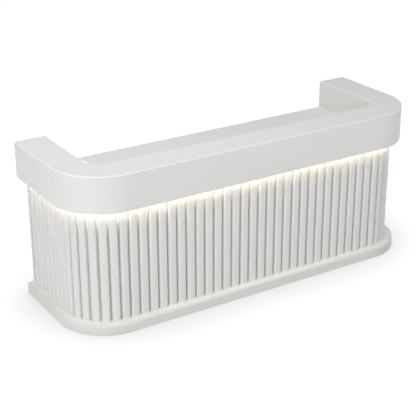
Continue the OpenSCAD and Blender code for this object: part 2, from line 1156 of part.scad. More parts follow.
module hinge_door_leaves() {
    third = hinge_h / 3;
    color(steel)
        at_hinges()
            hinge_plate(-1, [[third, 2 * third]], pin_r + run_gap);
}

plinth_fascia();
plinth_top();
plinth_knee_rails();
plinth_bearers();
front_panel();
left_corner_panel();
right_corner_panel();
left_side_panel();
right_side_panel();
front_slats();
left_corner_slats();
right_corner_slats();
left_side_slats();
right_side_slats();
wall_studs();
front_liner();
side_liners();
wall_end_boards();
counter_soffit();
counter_outer_fascia();
counter_inner_fascia();
counter_top();
counter_end_caps();
counter_ribs();
light_channel();
light_tape();
light_cover();
light_driver();
light_lead();
worktop();
cable_grommets();
grommet_caps();
cabinet_sides();
cabinet_bases();
cabinet_backs();
cabinet_rails();
cupboard_shelf();
shelf_pegs();
runner_channels();
top_drawer_front();
top_drawer_box();
top_drawer_handle();
top_drawer_runners();
top_drawer_sliders();
middle_drawer_front();
middle_drawer_box();
middle_drawer_handle();
middle_drawer_runners();
middle_drawer_sliders();
file_drawer_front();
file_drawer_box();
file_drawer_handle();
file_drawer_runners();
file_drawer_sliders();
lock_body();
lock_barrel();
cupboard_door();
door_handle();
hinge_fixed_leaves();
hinge_door_leaves();
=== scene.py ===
import math
import bmesh
import bpy
from mathutils import Matrix, Vector


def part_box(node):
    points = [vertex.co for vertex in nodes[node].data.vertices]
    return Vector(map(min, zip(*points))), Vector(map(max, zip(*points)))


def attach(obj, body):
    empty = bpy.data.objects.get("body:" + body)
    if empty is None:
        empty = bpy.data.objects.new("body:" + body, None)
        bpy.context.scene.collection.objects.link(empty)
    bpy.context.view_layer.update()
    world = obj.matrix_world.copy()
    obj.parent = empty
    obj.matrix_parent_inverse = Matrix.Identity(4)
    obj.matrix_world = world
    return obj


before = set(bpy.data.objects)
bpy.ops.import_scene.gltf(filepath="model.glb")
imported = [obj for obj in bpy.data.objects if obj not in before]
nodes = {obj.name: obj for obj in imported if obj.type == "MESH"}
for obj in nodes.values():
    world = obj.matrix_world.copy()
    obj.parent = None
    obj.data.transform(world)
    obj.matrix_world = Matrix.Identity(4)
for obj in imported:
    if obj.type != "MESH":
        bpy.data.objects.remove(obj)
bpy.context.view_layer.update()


# Plinth: fibreboard bearers on the floor, a top board on them, and a bent skin round the outside.
# Skin and top are filled, sanded and sprayed white; the bearers stay bare where nobody sees them.

MM = 0.001
LACQUER_WHITE = "#EFEEEC"
LACQUER_CLOUD = "#EBEAE8"
# Painted highlight: the brighter white of eased edges that face partly upwards.
EDGE_HIGHLIGHT_WHITE = "#FBFBF9"
LACQUER_ROUGHNESS = 0.38
LACQUER_EDGE = 1.0 * MM
ORANGE_PEEL = 2.5 * MM
EASED_SLOPE = 0.55              # how far up an eased edge looks, give or take the spread: 1 is straight up
EASED_SPREAD = 0.42
RUBBED_POLISH = 0.08
# Painted shade: the plinth's skin is a greyer white than the counter's lacquer, for the shade under the
# overhang.
PLINTH_SHADED_WHITE = "#E4E3E1"
PLINTH_SHADED_CLOUD = "#E0DFDC"
# Painted highlight on the eased edges of the plinth's skin.
PLINTH_EDGE_HIGHLIGHT = "#EBEAE8"
# Painted light: the plinth's top is a brighter white than its skin, for the light on its upward face.
PLINTH_TOP_LIT_WHITE = "#F5F4F2"
PLINTH_TOP_LIT_CLOUD = "#F1F0EE"
PLINTH_ROUGHNESS = 0.42
SHARP_FROM = math.radians(40)
WELD_GAP = 0.01 * MM


def srgb(code):
    """Linear colour, with full alpha, of an sRGB hex code."""
    parts = [int(code[i:i + 2], 16) / 255 for i in (1, 3, 5)]
    return [p / 12.92 if p <= 0.04045 else ((p + 0.055) / 1.055) ** 2.4 for p in parts] + [1.0]


def add(tree, kind, links=None, values=None, **settings):
    """Adds one shader node, with its own settings, the values of its sockets and what feeds them."""
    node = tree.nodes.new("ShaderNode" + kind)
    for name, value in settings.items():
        setattr(node, name, value)
    for socket, value in (values or {}).items():
        node.inputs[socket].default_value = value
    for socket, source in (links or {}).items():
        tree.links.new(source, node.inputs[socket])
    return node


def bare_material(name):
    """A new material with no nodes, and its node tree."""
    material = bpy.data.materials.new(name)
    material.use_nodes = True
    material.node_tree.nodes.clear()
    return material, material.node_tree


def sprayed_lacquer(name, white, cloud, roughness, edge_highlight=EDGE_HIGHLIGHT_WHITE):
    """Satin white lacquer sprayed on sanded fibreboard. It gives a soft, even sheen that is a little cloudy
    over a hand's width, and a fine orange peel that breaks up the highlights. The eased edges, where the
    surface turns partly upwards, carry a painted highlight in a brighter white, and are a little glossier."""
    material, tree = bare_material(name)
    place = add(tree, "TexCoord").outputs["Object"]
    clouds = add(tree, "TexNoise", {"Vector": place}, {"Scale": 1 / (180 * MM), "Detail": 3.0})
    facing = add(tree, "SeparateXYZ", {0: add(tree, "NewGeometry").outputs["True Normal"]})
    eased = add(tree, "Math", {0: facing.outputs["Z"]}, {1: EASED_SLOPE, 2: EASED_SPREAD},
                operation="COMPARE")
    flat_tone = add(tree, "Mix", {0: clouds.outputs["Fac"]}, {6: srgb(white), 7: srgb(cloud)},
                    data_type="RGBA")
    # Painted highlight: faces turned partly upwards, the eased edges, are mixed towards the brighter white.
    colour = add(tree, "Mix", {0: eased.outputs[0], 6: flat_tone.outputs[2]}, {7: srgb(edge_highlight)},
                 data_type="RGBA")
    gloss = add(tree, "MapRange", {"Value": clouds.outputs["Fac"]},
                {"To Min": roughness - 0.04, "To Max": roughness + 0.04})
    polish = add(tree, "Math", {0: eased.outputs[0], 2: gloss.outputs["Result"]}, {1: -RUBBED_POLISH},
                 operation="MULTIPLY_ADD")
    peel = add(tree, "TexNoise", {"Vector": place}, {"Scale": 1 / ORANGE_PEEL, "Detail": 2.0})
    skin = add(tree, "Bump", {"Height": peel.outputs["Fac"]}, {"Strength": 0.25, "Distance": 0.05 * MM})
    surface = add(tree, "BsdfPrincipled",
                  {"Base Color": colour.outputs[2], "Roughness": polish.outputs[0],
                   "Normal": skin.outputs["Normal"]},
                  {"IOR": 1.5})
    add(tree, "OutputMaterial", {"Surface": surface.outputs["BSDF"]})
    return material


def raw_fibreboard():
    """Sawn medium-density fibreboard. It gives a felted light brown with darker flecks of fibre and
    no sheen."""
    material, tree = bare_material("raw_fibreboard")
    place = add(tree, "TexCoord").outputs["Object"]
    felt = add(tree, "TexNoise", {"Vector": place}, {"Scale": 1 / (3 * MM), "Detail": 5.0, "Roughness": 0.7})
    colour = add(tree, "Mix", {0: felt.outputs["Fac"]}, {6: srgb("#B5936B"), 7: srgb("#CDB08A")},
                 data_type="RGBA")
    fuzz = add(tree, "Bump", {"Height": felt.outputs["Fac"]}, {"Strength": 0.5, "Distance": 0.2 * MM})
    surface = add(tree, "BsdfPrincipled",
                  {"Base Color": colour.outputs[2], "Normal": fuzz.outputs["Normal"]},
                  {"Roughness": 0.9, "IOR": 1.45})
    add(tree, "OutputMaterial", {"Surface": surface.outputs["BSDF"]})
    return material


def dress(names, material, edge=0.0):
    """Gives the named pieces their finish and, where edge is set, breaks their sharp edges by that much.
    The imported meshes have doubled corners, which are welded first so that the edges are whole. The two
    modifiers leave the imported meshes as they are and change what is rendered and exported."""
    for name in names:
        piece = nodes[name]
        for spot in piece.material_slots:
            spot.material = material
        if edge:
            weld = piece.modifiers.new("weld", "WELD")
            weld.merge_threshold = WELD_GAP
            broken = piece.modifiers.new("broken_edge", "BEVEL")
            broken.width = edge
            broken.segments = 2
            broken.limit_method = "ANGLE"
            broken.angle_limit = SHARP_FROM
            broken.harden_normals = True


lacquer = sprayed_lacquer("satin_white_lacquer", LACQUER_WHITE, LACQUER_CLOUD, LACQUER_ROUGHNESS)
fibreboard = raw_fibreboard()
dress(["plinth_fascia"],
      sprayed_lacquer("satin_plinth_lacquer_painted_shade", PLINTH_SHADED_WHITE, PLINTH_SHADED_CLOUD, PLINTH_ROUGHNESS, PLINTH_EDGE_HIGHLIGHT),
      LACQUER_EDGE)
dress(["plinth_top"],
      sprayed_lacquer("satin_plinth_top_lacquer_painted_light", PLINTH_TOP_LIT_WHITE, PLINTH_TOP_LIT_CLOUD, PLINTH_ROUGHNESS),
      LACQUER_EDGE)
dress(["plinth_bearers"], fibreboard)


# Melamine boards: the inside of the desk is made of particle board faced with printed melamine paper,
# pressed against a pearl-textured plate, with a thin plastic band glued on each cut edge.

MELAMINE_WHITE = "#E9E9E7"
MELAMINE_SPECK = "#E4E4E1"
BANDED_EDGE = 0.6 * MM


def pearl_melamine(name, white, speck):
    """White melamine pressed with a pearl texture. It gives a dry, slightly mottled white whose shallow
    pits, a millimetre across, soften every reflection."""
    material, tree = bare_material(name)
    place = add(tree, "TexCoord").outputs["Object"]
    print_tone = add(tree, "TexNoise", {"Vector": place}, {"Scale": 1 / (60 * MM), "Detail": 4.0})
    colour = add(tree, "Mix", {0: print_tone.outputs["Fac"]}, {6: srgb(white), 7: srgb(speck)},
                 data_type="RGBA")
    pearl = add(tree, "TexVoronoi", {"Vector": place}, {"Scale": 1 / (1.2 * MM)}, feature="SMOOTH_F1")
    gloss = add(tree, "MapRange", {"Value": pearl.outputs["Distance"]}, {"To Min": 0.46, "To Max": 0.62})
    pits = add(tree, "Bump", {"Height": pearl.outputs["Distance"]}, {"Strength": 0.35, "Distance": 0.08 * MM})
    surface = add(tree, "BsdfPrincipled",
                  {"Base Color": colour.outputs[2], "Roughness": gloss.outputs["Result"],
                   "Normal": pits.outputs["Normal"]},
                  {"IOR": 1.5})
    add(tree, "OutputMaterial", {"Surface": surface.outputs["BSDF"]})
    return material


melamine = pearl_melamine("pearl_white_melamine", MELAMINE_WHITE, MELAMINE_SPECK)
dress(["plinth_knee_rails"], melamine, BANDED_EDGE)


# Wall: upright fibreboard studs between the outer panels and the inner liners, closed by end boards.
# The liners are melamine, and the end boards, which the staff see beside the cabinets, are lacquered.

dress(["wall_studs"], fibreboard)
dress(["front_liner", "side_liners"], melamine, BANDED_EDGE)
dress(["wall_end_boards"], lacquer, LACQUER_EDGE)


# Outer panels: fibreboard sheets, kerfed and bent round the two front corners, rolled with a matt primer.
# Its grey between the slats is darker than the slats' white, painted shade for the grooves, and from 565 mm
# up it turns to white, painted light under the light strip. From GLOW_LOW up a faint painted glow helps the
# light strip, whose light alone leaves the grooves' tops too dark in the render. GLOW_STRENGTH was matched by
# trial, not worked out.

# Painted shade: the primer's grey between the slats stands for the shade in the grooves.
PRIMER_AND_SHADE_WHITE = "#CFCCC7"
PRIMER_AND_SHADE_CLOUD = "#C7C4BF"
# Painted light: the white that the panels turn to near the top, under the light strip.
PAINTED_LIGHT_WHITE = "#FBFAF7"
PAINTED_LIGHT_LOW = 565 * MM
PAINTED_LIGHT_FULL = 675 * MM
GLOW_LOW = 620 * MM
GLOW_FULL = 712 * MM
GLOW_STRENGTH = 0.34
LIGHT_WARM = "#FFF4D8"


def primer_painted_light_and_shade():
    """Rolled matt primer with the dry stipple of the roller, in a grey darkened as painted shade between the
    slats. Near the top it turns clean white, painted light under the light strip.
    A faint glow is painted on there."""
    material, tree = bare_material("matt_primer_painted_light_and_shade")
    place = add(tree, "TexCoord").outputs["Object"]
    clouds = add(tree, "TexNoise", {"Vector": place}, {"Scale": 1 / (120 * MM), "Detail": 3.0})
    # Painted shade between the slats.
    primer = add(tree, "Mix", {0: clouds.outputs["Fac"]}, {6: srgb(PRIMER_AND_SHADE_WHITE), 7: srgb(PRIMER_AND_SHADE_CLOUD)},
                 data_type="RGBA")
    height = add(tree, "SeparateXYZ", {0: place})
    # Painted light: white towards the top, under the light strip.
    painted_light = add(tree, "MapRange", {"Value": height.outputs["Z"]},
               {"From Min": PAINTED_LIGHT_LOW, "From Max": PAINTED_LIGHT_FULL}, interpolation_type="SMOOTHSTEP")
    colour = add(tree, "Mix", {0: painted_light.outputs["Result"], 6: primer.outputs[2]}, {7: srgb(PAINTED_LIGHT_WHITE)},
                 data_type="RGBA")
    glow = add(tree, "MapRange", {"Value": height.outputs["Z"]},
               {"From Min": GLOW_LOW, "From Max": GLOW_FULL, "To Max": GLOW_STRENGTH},
               interpolation_type="SMOOTHSTEP")
    stipple = add(tree, "TexNoise", {"Vector": place}, {"Scale": 1 / (4 * MM), "Detail": 2.0})
    dry = add(tree, "MapRange", {"Value": stipple.outputs["Fac"]}, {"To Min": 0.62, "To Max": 0.78})
    skin = add(tree, "Bump", {"Height": stipple.outputs["Fac"]}, {"Strength": 0.4, "Distance": 0.1 * MM})
    surface = add(tree, "BsdfPrincipled",
                  {"Base Color": colour.outputs[2], "Roughness": dry.outputs["Result"],
                   "Normal": skin.outputs["Normal"], "Emission Strength": glow.outputs["Result"]},
                  {"IOR": 1.5, "Emission Color": srgb(LIGHT_WARM)})
    add(tree, "OutputMaterial", {"Surface": surface.outputs["BSDF"]})
    return material


dress(["front_panel", "left_corner_panel", "right_corner_panel", "left_side_panel", "right_side_panel"],
      primer_painted_light_and_shade())


# Slats: round-shouldered fibreboard mouldings, glued upright to the panels all round the desk.
# They were sprayed along their length, which leaves faint upright streaks in the sheen.

SLAT_WHITE = "#ECEBEA"
SLAT_STREAK = "#E4E3E2"
STREAK_WIDTH = 4 * MM
STREAK_LENGTH = 160 * MM


def streaked_lacquer():
    """Satin lacquer sprayed on profiled mouldings. It gives the white of the counter with faint streaks
    along the slat, 4 mm wide and as long as a hand."""
    material, tree = bare_material("streaked_white_lacquer")
    place = add(tree, "TexCoord").outputs["Object"]
    drawn = add(tree, "Mapping", {"Vector": place},
                {"Scale": (1 / STREAK_WIDTH, 1 / STREAK_WIDTH, 1 / STREAK_LENGTH)})
    streaks = add(tree, "TexNoise", {"Vector": drawn.outputs["Vector"]}, {"Scale": 1.0, "Detail": 3.0})
    colour = add(tree, "Mix", {0: streaks.outputs["Fac"]}, {6: srgb(SLAT_WHITE), 7: srgb(SLAT_STREAK)},
                 data_type="RGBA")
    gloss = add(tree, "MapRange", {"Value": streaks.outputs["Fac"]}, {"To Min": 0.36, "To Max": 0.5})
    ridges = add(tree, "Bump", {"Height": streaks.outputs["Fac"]}, {"Strength": 0.2, "Distance": 0.1 * MM})
    surface = add(tree, "BsdfPrincipled",
                  {"Base Color": colour.outputs[2], "Roughness": gloss.outputs["Result"],
                   "Normal": ridges.outputs["Normal"]},
                  {"IOR": 1.5})
    add(tree, "OutputMaterial", {"Surface": surface.outputs["BSDF"]})
    return material


dress(["front_slats", "left_corner_slats", "right_corner_slats", "left_side_slats", "right_side_slats"],
      streaked_lacquer())


# Raised counter: bare ribs stand between the soffit and the top board, and bent fascias close it outside
# and inside. The joints are filled and the whole ring is sprayed in one go, with square caps on its arms.

dress(["counter_ribs"], fibreboard)
dress(["counter_soffit", "counter_outer_fascia", "counter_inner_fascia", "counter_top", "counter_end_caps"],
      lacquer)


# Light under the overhang: an extruded aluminium channel let into the soffit all round, a flexible tape
# of diodes stuck in it, and an opal strip snapped over the tape.

LIGHT_STRENGTH = 13.5
LIGHT_UNEVEN = 0.06
DIODE_PITCH = 10 * MM


def anodised_aluminium():
    """Extruded aluminium, satin anodised. It gives a cool grey metal with fine die lines along the strip."""
    material, tree = bare_material("satin_anodised_aluminium")
    place = add(tree, "TexCoord").outputs["Object"]
    drawn = add(tree, "Mapping", {"Vector": place},
                {"Scale": (1 / (90 * MM), 1 / (90 * MM), 1 / (0.5 * MM))})
    lines = add(tree, "TexNoise", {"Vector": drawn.outputs["Vector"]}, {"Scale": 1.0, "Detail": 2.0})
    gloss = add(tree, "MapRange", {"Value": lines.outputs["Fac"]}, {"To Min": 0.3, "To Max": 0.42})
    tone = add(tree, "Mix", {0: lines.outputs["Fac"]}, {6: srgb("#C9CBCD"), 7: srgb("#BFC1C4")},
               data_type="RGBA")
    surface = add(tree, "BsdfPrincipled",
                  {"Base Color": tone.outputs[2], "Roughness": gloss.outputs["Result"]},
                  {"Metallic": 1.0})
    add(tree, "OutputMaterial", {"Surface": surface.outputs["BSDF"]})
    return material


def diode_tape():
    """White flexible circuit with a phosphor-yellow diode every 10 mm. It gives a row of small warm
    squares wherever the cover lets it show."""
    material, tree = bare_material("diode_tape")
    place = add(tree, "TexCoord").outputs["Object"]
    cells = add(tree, "TexVoronoi", {"Vector": place}, {"Scale": 1 / DIODE_PITCH, "Randomness": 0.0})
    spot = add(tree, "Math", {0: cells.outputs["Distance"]}, {1: 0.25}, operation="LESS_THAN")
    colour = add(tree, "Mix", {0: spot.outputs[0]}, {6: srgb("#F4F3EE"), 7: srgb("#E9C55A")},
                 data_type="RGBA")
    surface = add(tree, "BsdfPrincipled", {"Base Color": colour.outputs[2]}, {"Roughness": 0.45, "IOR": 1.5})
    add(tree, "OutputMaterial", {"Surface": surface.outputs["BSDF"]})
    return material


def lit_opal_acrylic():
    """Opal acrylic strip with the lit tape behind it. It gives an even warm white glow with no dots,
    a little weaker between the diodes."""
    material, tree = bare_material("lit_opal_acrylic")
    place = add(tree, "TexCoord").outputs["Object"]
    uneven = add(tree, "TexNoise", {"Vector": place}, {"Scale": 1 / (2 * DIODE_PITCH), "Detail": 1.0})
    glow = add(tree, "MapRange", {"Value": uneven.outputs["Fac"]},
               {"To Min": (1 - LIGHT_UNEVEN) * LIGHT_STRENGTH, "To Max": (1 + LIGHT_UNEVEN) * LIGHT_STRENGTH})
    surface = add(tree, "BsdfPrincipled", {"Emission Strength": glow.outputs["Result"]},
                  {"Base Color": srgb("#F6F3EA"), "Roughness": 0.4, "IOR": 1.49,
                   "Emission Color": srgb(LIGHT_WARM)})
    add(tree, "OutputMaterial", {"Surface": surface.outputs["BSDF"]})
    return material


dress(["light_channel"], anodised_aluminium())
dress(["light_tape"], diode_tape())
dress(["light_cover"], lit_opal_acrylic())


# Driver and its lead: a die-cast box held by two zinc-plated screws through its ears to the liner over the
# knee space, and a round white lead from its end through the liner, up inside the wall to the light tape.

DRIVER_EDGE = 0.8 * MM
DRIVER_SCREW_RADIUS = 3.8 * MM
DRIVER_SCREW_HEIGHT = 2.2 * MM
EAR_HALF = 7 * MM               # from the driver's end to the middle of its ear
EAR_THICKNESS = 3 * MM
EAR_MIDDLE = 7.5 * MM           # the screw's height above the driver's underside
HEAD_SIDES = 24                 # corners of the ring that draws a screw head or a cap
SOFT_BELOW = math.radians(35)
# Outline of a button head, from its foot to the floor of its socket: share of the radius, share of the
# height, and whether the ring is hexagonal there.
HEAD_OUTLINE = ((1.0, 0.0, False), (1.0, 0.15, False), (0.92, 0.55, False), (0.72, 0.88, False),
                (0.52, 1.0, False), (0.42, 1.0, True), (0.42, 0.3, True))


def powder_coat(name, code):
    """Die casting with a baked powder coat. It gives a dark, even grey with a fine leathery texture."""
    material, tree = bare_material(name)
    place = add(tree, "TexCoord").outputs["Object"]
    leather = add(tree, "TexNoise", {"Vector": place}, {"Scale": 1 / (1.5 * MM), "Detail": 2.0})
    bumps = add(tree, "Bump", {"Height": leather.outputs["Fac"]}, {"Strength": 0.6, "Distance": 0.15 * MM})
    gloss = add(tree, "MapRange", {"Value": leather.outputs["Fac"]}, {"To Min": 0.42, "To Max": 0.6})
    surface = add(tree, "BsdfPrincipled",
                  {"Roughness": gloss.outputs["Result"], "Normal": bumps.outputs["Normal"]},
                  {"Base Color": srgb(code), "IOR": 1.5})
    add(tree, "OutputMaterial", {"Surface": surface.outputs["BSDF"]})
    return material


def pvc_sheath():
    """Extruded PVC sheath. It gives a smooth, slightly greasy white with a faint draw along the lead."""
    material, tree = bare_material("white_pvc_sheath")
    place = add(tree, "TexCoord").outputs["Object"]
    draw = add(tree, "TexNoise", {"Vector": place}, {"Scale": 1 / (5 * MM), "Detail": 1.0})
    gloss = add(tree, "MapRange", {"Value": draw.outputs["Fac"]}, {"To Min": 0.3, "To Max": 0.4})
    surface = add(tree, "BsdfPrincipled", {"Roughness": gloss.outputs["Result"]},
                  {"Base Color": srgb("#E4E4E0"), "IOR": 1.53})
    add(tree, "OutputMaterial", {"Surface": surface.outputs["BSDF"]})
    return material


def zinc_plate():
    """Rolled steel strip with bright zinc plate. It gives a blue-grey metal with a soft, patchy bloom."""
    material, tree = bare_material("bright_zinc_plate")
    place = add(tree, "TexCoord").outputs["Object"]
    bloom = add(tree, "TexNoise", {"Vector": place}, {"Scale": 1 / (12 * MM), "Detail": 4.0})
    tone = add(tree, "Mix", {0: bloom.outputs["Fac"]}, {6: srgb("#C3C8CC"), 7: srgb("#AEB4B9")},
               data_type="RGBA")
    gloss = add(tree, "MapRange", {"Value": bloom.outputs["Fac"]}, {"To Min": 0.24, "To Max": 0.4})
    surface = add(tree, "BsdfPrincipled",
                  {"Base Color": tone.outputs[2], "Roughness": gloss.outputs["Result"]},
                  {"Metallic": 1.0})
    add(tree, "OutputMaterial", {"Surface": surface.outputs["BSDF"]})
    return material


def small_piece(name, mesh, material, body):
    """Turns a finished bmesh into one named piece that rides on body."""
    data = bpy.data.meshes.new(name)
    mesh.to_mesh(data)
    mesh.free()
    data.materials.append(material)
    data.shade_smooth()
    data.set_sharp_from_angle(angle=SOFT_BELOW)
    piece = bpy.data.objects.new(name, data)
    bpy.context.scene.collection.objects.link(piece)
    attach(piece, body)


def join_rings(mesh, rings):
    """Closes the wall between each ring of corners and the next."""
    for low, high in zip(rings, rings[1:]):
        for k in range(HEAD_SIDES):
            mesh.faces.new((low[k - 1], low[k], high[k], high[k - 1]))


def socket_screws(name, spots, facing, radius, height, body):
    """Button heads with a hexagonal socket, standing on the given places and looking along facing."""
    mesh = bmesh.new()
    turn = Vector(facing).to_track_quat("Z", "Y").to_matrix().to_4x4()
    for spot in spots:
        place = Matrix.Translation(spot) @ turn
        rings = []
        for share, lift, hexagonal in HEAD_OUTLINE:
            ring = []
            for k in range(HEAD_SIDES):
                angle = math.tau * k / HEAD_SIDES
                reach = share * radius
                if hexagonal:
                    reach /= math.cos(angle % (math.pi / 3) - math.pi / 6)
                corner = Vector((reach * math.cos(angle), reach * math.sin(angle), lift * height))
                ring.append(mesh.verts.new(place @ corner))
            rings.append(ring)
        join_rings(mesh, rings)
        mesh.faces.new(rings[-1])
        mesh.faces.new(rings[0][::-1])
    small_piece(name, mesh, zinc, body)


zinc = zinc_plate()
dress(["light_driver"], powder_coat("grey_powder_coat", "#5A5C5F"), DRIVER_EDGE)
driver_low, driver_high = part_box("light_driver")
socket_screws("driver_screws",
              [Vector((x, driver_low.y + EAR_THICKNESS, driver_low.z + EAR_MIDDLE))
               for x in (driver_low.x + EAR_HALF, driver_high.x - EAR_HALF)],
              (0, 1, 0), DRIVER_SCREW_RADIUS, DRIVER_SCREW_HEIGHT, "root")
dress(["light_lead"], pvc_sheath())


# Worktop: one thick melamine board that runs in under the counter, with a white plastic edge band on the
# staff side. Two moulded sleeves with loose caps line its cable holes.

WORKTOP_WHITE = "#F3F3F1"
WORKTOP_SPECK = "#EFEFEC"
WORKTOP_EDGE = 0.8 * MM


def moulded_plastic(name, code):
    """Plastic moulded in a spark-eroded mould. It gives a light, dull surface with a fine, even grain,
    drawn 0.8 mm wide, which is coarser than the real one, so that it shows."""
    material, tree = bare_material(name)
    place = add(tree, "TexCoord").outputs["Object"]
    grain = add(tree, "TexNoise", {"Vector": place}, {"Scale": 1 / (0.8 * MM), "Detail": 2.0})
    bumps = add(tree, "Bump", {"Height": grain.outputs["Fac"]}, {"Strength": 0.3, "Distance": 0.05 * MM})
    gloss = add(tree, "MapRange", {"Value": grain.outputs["Fac"]}, {"To Min": 0.45, "To Max": 0.58})
    surface = add(tree, "BsdfPrincipled",
                  {"Roughness": gloss.outputs["Result"], "Normal": bumps.outputs["Normal"]},
                  {"Base Color": srgb(code), "IOR": 1.52})
    add(tree, "OutputMaterial", {"Surface": surface.outputs["BSDF"]})
    return material


dress(["worktop"], pearl_melamine("worktop_white_melamine", WORKTOP_WHITE, WORKTOP_SPECK), WORKTOP_EDGE)
dress(["cable_grommets", "grommet_caps"], moulded_plastic("grained_grey_abs", "#CFCFCF"))


# Cabinets: melamine boxes under each end of the worktop, dowelled and screwed. The heads of the
# connecting screws on the knee side are hidden under small domed plastic caps.

CAP_RADIUS = 6 * MM
CAP_RISE = 1.2 * MM
CAP_MARGIN = 45 * MM
RAIL_HALF = 9 * MM
# Outline of a cap, from its foot to just under its crown: share of the radius and share of the rise.
CAP_OUTLINE = ((1.0, 0.0), (0.98, 0.35), (0.86, 0.68), (0.62, 0.88), (0.32, 0.98))

dress(["cabinet_sides", "cabinet_bases", "cabinet_backs", "cabinet_rails"], melamine, BANDED_EDGE)


def domed_caps(name, spots, radius, rise):
    """Low plastic domes on the given places, each looking along its own direction."""
    mesh = bmesh.new()
    angles = [math.tau * k / HEAD_SIDES for k in range(HEAD_SIDES)]
    for spot, facing in spots:
        place = Matrix.Translation(spot) @ Vector(facing).to_track_quat("Z", "Y").to_matrix().to_4x4()
        rings = []
        for share, lift in CAP_OUTLINE:
            reach = share * radius
            rings.append([mesh.verts.new(place @ Vector((reach * math.cos(angle), reach * math.sin(angle),
                                                         lift * rise))) for angle in angles])
        join_rings(mesh, rings)
        crown = mesh.verts.new(place @ Vector((0, 0, rise)))
        for k in range(HEAD_SIDES):
            mesh.faces.new((rings[-1][k - 1], rings[-1][k], crown))
        mesh.faces.new(rings[0][::-1])
    small_piece(name, mesh, cap_plastic, "root")


cap_plastic = moulded_plastic("white_polypropylene", "#E2E2DF")
side_low, side_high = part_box("cabinet_sides")
base_low, base_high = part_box("cabinet_bases")
# The face of each cabinet towards the knees is this far from the middle of the desk.
knee_face = min(v.co.x for v in nodes["cabinet_sides"].data.vertices if v.co.x > 0)
cap_heights = [(base_low.z + base_high.z) / 2, side_high.z - RAIL_HALF]
cap_depths = [side_low.y + CAP_MARGIN, side_high.y - CAP_MARGIN]
for name, side in (("screw_caps_left", -1), ("screw_caps_right", 1)):
    domed_caps(name,
               [(Vector((side * knee_face, y, z)), (-side, 0, 0)) for y in cap_depths for z in cap_heights],
               CAP_RADIUS, CAP_RISE)


# Shelf of the cupboard: a loose melamine board on four steel pegs. The rows of spare peg holes above and
# below it are closed with small white caps.

PEG_PITCH = 64 * MM
PEG_CAP_RADIUS = 4 * MM
PEG_CAP_RISE = 0.8 * MM
PEG_PLACES = (-4, -3, -2, -1, 1, 2, 3, 4)   # the spare holes, in pitches up or down from the shelf's pegs


def turned_steel():
    """Turned steel peg, nickel flashed. It gives a bright metal with fine rings from the lathe."""
    material, tree = bare_material("turned_nickelled_steel")
    place = add(tree, "TexCoord").outputs["Object"]
    drawn = add(tree, "Mapping", {"Vector": place},
                {"Scale": (1 / (0.4 * MM), 1 / (6 * MM), 1 / (6 * MM))})
    rings = add(tree, "TexNoise", {"Vector": drawn.outputs["Vector"]}, {"Scale": 1.0, "Detail": 2.0})
    gloss = add(tree, "MapRange", {"Value": rings.outputs["Fac"]}, {"To Min": 0.2, "To Max": 0.34})
    tone = add(tree, "Mix", {0: rings.outputs["Fac"]}, {6: srgb("#CBC9C5"), 7: srgb("#BDBBB7")},
               data_type="RGBA")
    surface = add(tree, "BsdfPrincipled",
                  {"Base Color": tone.outputs[2], "Roughness": gloss.outputs["Result"]},
                  {"Metallic": 1.0})
    add(tree, "OutputMaterial", {"Surface": surface.outputs["BSDF"]})
    return material


dress(["cupboard_shelf"], melamine, BANDED_EDGE)
dress(["shelf_pegs"], turned_steel())
board = base_high.z - base_low.z
peg_low, peg_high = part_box("shelf_pegs")
peg_radius = (peg_high.z - peg_low.z) / 2
peg_depths = [peg_low.y + peg_radius, peg_high.y - peg_radius]
domed_caps("peg_hole_caps",
           [(Vector((x, y, peg_low.z + peg_radius + k * PEG_PITCH)), (turn, 0, 0))
            for x, turn in ((knee_face + board, 1), (side_high.x - board, -1))
            for y in peg_depths for k in PEG_PLACES],
           PEG_CAP_RADIUS, PEG_CAP_RISE)


# Drawers: lacquered inset fronts screwed from inside to boxes of thin grey board, on ball-bearing runners
# of rolled zinc-plated strip. Each has a straight bar handle of brushed steel on two feet.

FRONT_EDGE = 0.8 * MM
BOX_EDGE = 0.4 * MM
HANDLE_EDGE = 0.6 * MM
BOX_BOARD = 12 * MM
BOX_FLOOR = 14 * MM             # from the box's underside to the top of its bottom
DEEP_BOX = 150 * MM             # from this inner height up a front has two rows of screws
FRONT_SCREW_INSET = 60 * MM
FRONT_SCREW_RADIUS = 4.5 * MM
FRONT_SCREW_HEIGHT = 2.4 * MM
HAIR_WIDTH = 0.4 * MM           # coarser than the real brushing, so that it shows
HAIR_LENGTH = 60 * MM


def brushed_steel(name, along):
    """Stainless bar, brushed lengthwise. It gives a neutral grey metal whose highlight is drawn out by
    hair-fine lines, which run the way that along has a 1."""
    material, tree = bare_material(name)
    place = add(tree, "TexCoord").outputs["Object"]
    stretch = [1 / HAIR_LENGTH if axis else 1 / HAIR_WIDTH for axis in along]
    drawn = add(tree, "Mapping", {"Vector": place}, {"Scale": stretch})
    hairs = add(tree, "TexNoise", {"Vector": drawn.outputs["Vector"]}, {"Scale": 1.0, "Detail": 3.0})
    tone = add(tree, "Mix", {0: hairs.outputs["Fac"]}, {6: srgb("#C8C7C5"), 7: srgb("#B2B1AF")},
               data_type="RGBA")
    gloss = add(tree, "MapRange", {"Value": hairs.outputs["Fac"]}, {"To Min": 0.24, "To Max": 0.38})
    scratch = add(tree, "Bump", {"Height": hairs.outputs["Fac"]}, {"Strength": 0.25, "Distance": 0.03 * MM})
    surface = add(tree, "BsdfPrincipled",
                  {"Base Color": tone.outputs[2], "Roughness": gloss.outputs["Result"],
                   "Normal": scratch.outputs["Normal"]},
                  {"Metallic": 1.0})
    add(tree, "OutputMaterial", {"Surface": surface.outputs["BSDF"]})
    return material


